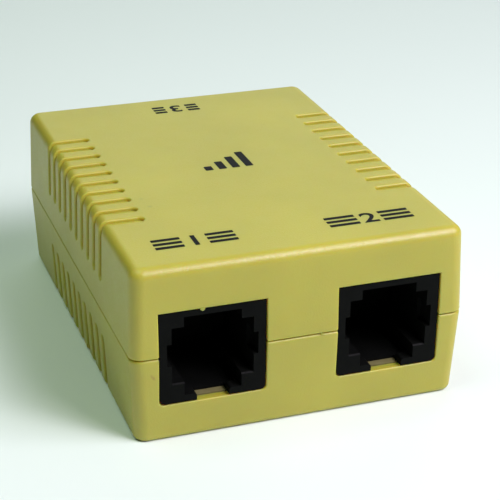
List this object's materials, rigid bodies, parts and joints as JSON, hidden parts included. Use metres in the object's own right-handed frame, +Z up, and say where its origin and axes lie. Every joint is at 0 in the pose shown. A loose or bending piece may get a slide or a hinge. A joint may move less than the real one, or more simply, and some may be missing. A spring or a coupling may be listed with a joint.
{
  "type": "telephone line filter box",
  "caption": "Palm-sized beige plastic box in two snapped halves with ribbed sides, black modular jacks on its front and back faces, and a filter circuit on a board inside.",
  "frame": {"origin": "centre of the underside", "axes": "+Z up, -Y towards the face with two jacks, +X to the right of that face, Y along the longest side"},
  "size_m": [0.042, 0.0572, 0.0224],
  "materials": {
    "beige": "moulded pale beige plastic, satin, fine grain",
    "black_plastic": "black moulded plastic, semi-gloss",
    "contact_gold": "gold-plated spring wire",
    "laminate": "brown single-sided phenolic paper laminate",
    "ferrite": "dark grey sintered ferrite",
    "enamelled_copper": "lacquered copper wire",
    "tinned_wire": "tinned copper wire",
    "bobbin_plastic": "natural nylon",
    "film_capacitor": "red dipped film capacitor case",
    "resistor_coating": "blue lacquered film resistor",
    "absorber_coating": "blue epoxy-coated disc"
  },
  "bodies": {
    "root": {"upper_shell": "beige", "lower_shell": "beige", "circuit_board": "laminate", "left_jack_housing": "black_plastic", "left_jack_contact_1": "contact_gold", "left_jack_contact_2": "contact_gold", "left_jack_contact_3": "contact_gold", "left_jack_contact_4": "contact_gold", "right_jack_housing": "black_plastic", "right_jack_contact_1": "contact_gold", "right_jack_contact_2": "contact_gold", "right_jack_contact_3": "contact_gold", "right_jack_contact_4": "contact_gold", "rear_jack_housing": "black_plastic", "rear_jack_contact_1": "contact_gold", "rear_jack_contact_2": "contact_gold", "rear_jack_contact_3": "contact_gold", "rear_jack_contact_4": "contact_gold", "left_choke_bobbin": "bobbin_plastic", "left_choke_core_front": "ferrite", "left_choke_core_rear": "ferrite", "left_choke_winding_front": "enamelled_copper", "left_choke_winding_rear": "enamelled_copper", "left_choke_pins": "tinned_wire", "right_choke_bobbin": "bobbin_plastic", "right_choke_core_front": "ferrite", "right_choke_core_rear": "ferrite", "right_choke_winding_front": "enamelled_copper", "right_choke_winding_rear": "enamelled_copper", "right_choke_pins": "tinned_wire", "capacitor_1_body": "film_capacitor", "capacitor_1_leads": "tinned_wire", "capacitor_2_body": "film_capacitor", "capacitor_2_leads": "tinned_wire", "capacitor_3_body": "film_capacitor", "capacitor_3_leads": "tinned_wire", "capacitor_4_body": "film_capacitor", "capacitor_4_leads": "tinned_wire", "resistor_1_body": "resistor_coating", "resistor_1_leads": "tinned_wire", "resistor_2_body": "resistor_coating", "resistor_2_leads": "tinned_wire", "surge_absorber_body": "absorber_coating", "surge_absorber_leads": "tinned_wire"}
  },
  "joints": []
}
